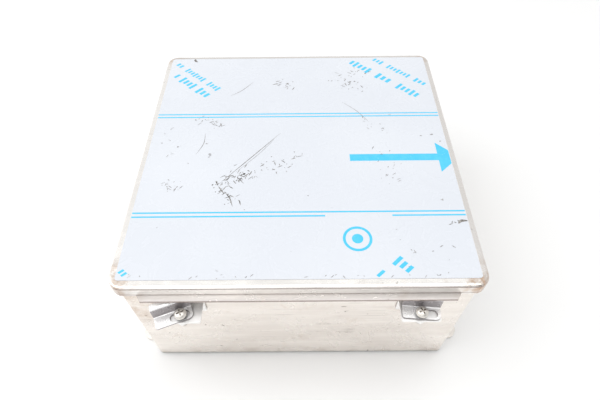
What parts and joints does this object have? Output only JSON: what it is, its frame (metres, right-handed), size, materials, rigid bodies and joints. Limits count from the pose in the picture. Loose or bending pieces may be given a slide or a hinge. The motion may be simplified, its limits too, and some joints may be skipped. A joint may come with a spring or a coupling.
{
  "type": "hinged-cover sheet metal enclosure",
  "caption": "Shallow square stainless enclosure with a hinged gasketed cover, screw clamps, mounting feet and an inner panel.",
  "frame": {"origin": "middle of the back panel's outer face", "axes": "+X along the hinge, +Y towards the hinge side, +Z out of the mouth, towards the cover"},
  "size_m": [0.35, 0.3429, 0.163],
  "materials": {
    "bare_stainless": "cold-rolled bare stainless sheet, unpainted",
    "clamp_stainless": "bright bare stainless, small formed parts",
    "pin_steel": "drawn stainless rod",
    "washer_steel": "blackened spring steel",
    "zinc_plate": "clear zinc plate",
    "coppered_steel": "copper-flashed weld stud",
    "panel_white": "white powder coat",
    "gasket_rubber": "matt black closed-cell rubber",
    "film": null
  },
  "bodies": {
    "enclosure": {"body_walls": "bare_stainless", "back_panel": "bare_stainless", "foot_front_left": "bare_stainless", "foot_front_right": "bare_stainless", "foot_rear_left": "bare_stainless", "foot_rear_right": "bare_stainless", "hinge_body_leaf": "bare_stainless", "hinge_pin": "pin_steel", "inner_panel": "panel_white", "body_earth_stud": "coppered_steel", "body_earth_nut": "coppered_steel", "panel_stud_1": "zinc_plate", "panel_nut_1": "zinc_plate", "panel_stud_2": "zinc_plate", "panel_nut_2": "zinc_plate", "panel_stud_3": "zinc_plate", "panel_nut_3": "zinc_plate", "panel_stud_4": "zinc_plate", "panel_nut_4": "zinc_plate", "clamp_bracket_left": "clamp_stainless", "weld_nut_left": "clamp_stainless", "clamp_bracket_right": "clamp_stainless", "weld_nut_right": "clamp_stainless"},
    "cover": {"cover_panel": "bare_stainless", "cover_gasket": "gasket_rubber", "protective_film": "film", "hinge_cover_leaf": "bare_stainless", "cover_earth_stud": "coppered_steel", "cover_earth_nut": "coppered_steel"},
    "clamp_left": {"clamp_left": "clamp_stainless"},
    "washer_left": {"lock_washer_left": "washer_steel"},
    "screw_left": {"clamp_screw_left": "clamp_stainless"},
    "clamp_right": {"clamp_right": "clamp_stainless"},
    "washer_right": {"lock_washer_right": "washer_steel"},
    "screw_right": {"clamp_screw_right": "clamp_stainless"}
  },
  "joints": [
    {"name": "cover_hinge", "type": "hinge", "parent": "enclosure", "child": "cover", "pos_m": [0, 0.1576, 0.144], "axis": [-1, 0, 0], "range_deg": [0, 180]},
    {"name": "clamp_left_swivel", "type": "hinge", "parent": "enclosure", "child": "clamp_left", "pos_m": [-0.1001, -0.1703, 0.1308], "axis": [0, 0, 1], "range_deg": [-22, 110]},
    {"name": "screw_left_travel", "type": "slide", "parent": "enclosure", "child": "washer_left", "axis": [0, 0, 1], "range_m": [-0.0018, 0.005]},
    {"name": "screw_left_turn", "type": "hinge", "parent": "washer_left", "child": "screw_left", "pos_m": [-0.1001, -0.1703, 0.136], "axis": [0, 0, 1], "range_deg": [-830, 2290]},
    {"name": "clamp_right_swivel", "type": "hinge", "parent": "enclosure", "child": "clamp_right", "pos_m": [0.104, -0.1703, 0.1308], "axis": [0, 0, 1], "range_deg": [-5, 14]},
    {"name": "screw_right_travel", "type": "slide", "parent": "enclosure", "child": "washer_right", "axis": [0, 0, 1], "range_m": [-0.0018, 0.005]},
    {"name": "screw_right_turn", "type": "hinge", "parent": "washer_right", "child": "screw_right", "pos_m": [0.104, -0.1703, 0.136], "axis": [0, 0, 1], "range_deg": [-830, 2290]}
  ],
  "couplings": [
    {"joint": "screw_left_turn", "follows": "screw_left_travel", "rad_per_m": 7913.3},
    {"joint": "screw_right_turn", "follows": "screw_right_travel", "rad_per_m": 7913.3}
  ]
}
